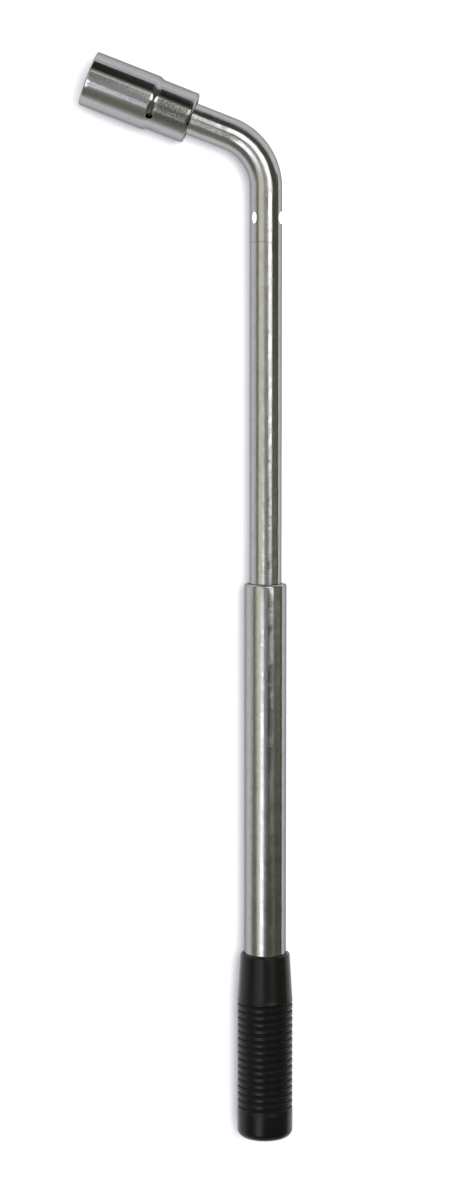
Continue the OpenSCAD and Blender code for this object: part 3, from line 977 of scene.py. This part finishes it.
def makeFloor(values):
    # a level sheet under the lowest point of the object
    reach, cells = values["floorSize"] / 2, values["floorCells"]
    x, y = np.meshgrid(*[np.linspace(-reach, reach, cells + 1)] * 2)
    points = np.stack([x, y, 0 * x + cadBox[0].z], -1).reshape(-1, 3)
    i, j = np.meshgrid(np.arange(cells), np.arange(cells))
    first = i * (cells + 1) + j
    quads = np.stack([first, first + 1, first + cells + 2, first + cells + 1], -1).reshape(-1, 4)
    material, nodes = newLook("paleFloor")
    shade = nodes.noise(nodes.own(), 3.0, 3.0) * 0.4
    tone = nodes.mix(shade, values["floorColour"], values["floorSecond"])
    finishLook(nodes, {"Base Color": tone, "Roughness": 0.9, "Specular IOR Level": 0.0})
    stagedSheet("floor", points.tolist(), quads.tolist(), material)


def makeRoom(cards, values):
    # what the chrome mirrors: cards by zenith angle, leaned by their turn about the upright, and by the slope
    # along the arm; plain pale to the camera
    world = bpy.data.worlds.new("room")
    scene.world = world
    world.use_nodes = True
    nodes = Nodes(world.node_tree)
    x, y, z = nodes.split(nodes.add("TexCoord", out="Generated"))
    degree = 180 / math.pi
    zenith = z.maths("ARCCOSINE", z) * degree
    turn = z.maths("ARCTAN2", y, x) * degree
    turnBack = z.maths("ARCTAN2", y * -1, x * -1) * degree
    along = x * float(armAxis[0]) + y * float(armAxis[1])
    light = values["room"]
    for card in cards:
        heading = turnBack if card.get("back") else turn
        height = zenith + heading * card["lean"] if "lean" in card else zenith
        mask = nodes.band(height, *card["zenith"])
        if "turn" in card:
            mask = mask * nodes.band(heading, *card["turn"])
        if "past" in card:
            mask = mask * nodes.band(along, *card["past"], 0.003)
        light = nodes.mix(mask, light, (*card["light"], 1))
    camera, diffuse = nodes.add("LightPath", {}, {}, out=("Is Camera Ray", "Is Diffuse Ray"))
    light = nodes.mix(camera, nodes.mix(diffuse, light, values["fill"]), values["seen"])
    background = nodes.add("Background", {}, {"Color": light, "Strength": 1.0})
    nodes.add("OutputWorld", {}, {"Surface": background})


cool, neutral, warm, brown, faintGreen = np.array([
    (0.96, 1.0, 1.07), (1.0, 1.0, 0.99), (1.0, 0.97, 0.80), (1.0, 0.92, 0.72), (0.985, 1.0, 0.97)])
# degrees: (lowest, highest, softness); "back" counts the turn from the other side
roomCards = [
    # walls low down
    dict(zenith=(72, 110, 5), light=cool * 1.16),
    # overhead
    dict(zenith=(-20, 11, 6), light=neutral * 0.67),
    # wall on the left
    dict(zenith=(14, 54, 12), turn=(-60, 23, 6), back=True, light=warm * 1.62),
    dict(zenith=(57, 71, 5), turn=(-60, 7, 4), back=True, light=brown * 0.46),
    dict(zenith=(48, 83, 8), turn=(11, 66, 6), back=True, light=brown * 0.37),
    dict(zenith=(22, 82, 6), turn=(67, 115, 3), back=True, light=brown * 0.48),
    # left window
    dict(zenith=(12, 31, 2.5), turn=(18, 57, 5), back=True, light=cool * 3.6),
    dict(zenith=(28, 42, 3), turn=(25, 57, 5), back=True, light=cool * 3.6),
    dict(zenith=(19, 35, 3), turn=(57, 68, 2.5), back=True, light=cool * 1.65),
    dict(zenith=(9.5, 15, 2), turn=(57, 72, 3), back=True, past=(-0.044, 1), light=cool * 1.9),
    dict(zenith=(40.5, 48, 2.5), turn=(49, 75, 4), back=True, lean=0.4, light=neutral * 0.5),
    # dark side
    dict(zenith=(47, 93, 7), turn=(-70, 120, 12), lean=0.45, light=warm * 0.18),
    dict(zenith=(14, 60, 3), turn=(-100, -17, 6), light=warm * 0.19),
    dict(zenith=(49, 88, 4), turn=(-9, -3, 3), light=brown * 0.5),
    # right soft box
    dict(zenith=(17, 42.5, 3), turn=(-7, 95, 5), lean=0.16, light=faintGreen * 3.75),
    # past its end
    dict(zenith=(-20, 43, 4), turn=(55, 120, 3), past=(-0.3, -0.040), light=neutral * 0.46),
    dict(zenith=(41, 77, 3), turn=(55, 120, 2), past=(-0.3, -0.040), light=warm * 0.05),
    dict(zenith=(26.5, 33.5, 2), turn=(55, 120, 2), past=(-0.3, -0.040), light=neutral * 1.3),
    dict(zenith=(7, 43, 4), turn=(40, 120, 2), back=True, past=(-0.095, -0.044), light=neutral * 0.45),
    dict(zenith=(16, 31, 2), turn=(40, 120, 2), back=True, past=(-0.095, -0.06), light=cool * 1.9),
]


def makeFlag(values):
    # a low dark board on the floor beside the handle, seen only in the chrome
    low, high = cadBox[0].z, cadBox[0].z + values["flagHigh"]
    ends = [(float(corner[0] * millimetre) + out, y) for out, y in zip(values["flagOut"], values["flagSpan"])]
    points = [(*ends[0], low), (*ends[1], low), (*ends[1], high), (*ends[0], high)]
    material, nodes = newLook("darkFlag")
    colour, strength = pick(values, "flagColour flagGlow")
    glow = nodes.add("Emission", {}, {"Color": colour, "Strength": strength})
    nodes.add("OutputMaterial", {}, {"Surface": glow})
    flag = stagedSheet("flag", points, [(0, 1, 2, 3)], material)
    flag.visible_camera = flag.visible_diffuse = flag.visible_shadow = False


def makeKey(values):
    # one wide soft light from the upper right, which the chrome doesn't mirror
    data = bpy.data.lights.new("keyLight", "AREA")
    data.shape, data.size = "DISK", values["keySize"]
    data.energy, data.color = values["keyPower"], values["keyColour"]
    key = placed("keyLight", data)
    middle = (cadBox[0] + cadBox[1]) / 2
    key.location = middle + Vector(values["keyFrom"])
    key.rotation_euler = Vector(values["keyFrom"]).to_track_quat("Z", "Y").to_euler()
    key.visible_glossy = False


def makeCamera(values):
    data = bpy.data.cameras.new("camera")
    data.lens, data.sensor_width, data.sensor_fit = values["lens"], 36.0, "AUTO"
    data.clip_start, data.clip_end = 0.05, 20.0
    camera = placed("camera", data)
    back = (Vector(values["place"]) - Vector(values["aim"])).normalized()
    right = Vector((0, 1, 0)).cross(back).normalized()
    turn = Matrix((right, back.cross(right), back)).transposed()
    camera.matrix_world = Matrix.Translation(values["place"]) @ turn.to_4x4()
    scene.camera = camera


makeFloor(stageValues)
makeRoom(roomCards, stageValues)
makeFlag(stageValues)
makeKey(stageValues)
makeCamera(cameraPlace)
scene.view_settings.view_transform = "Standard"
print("floor, room, light and camera placed")
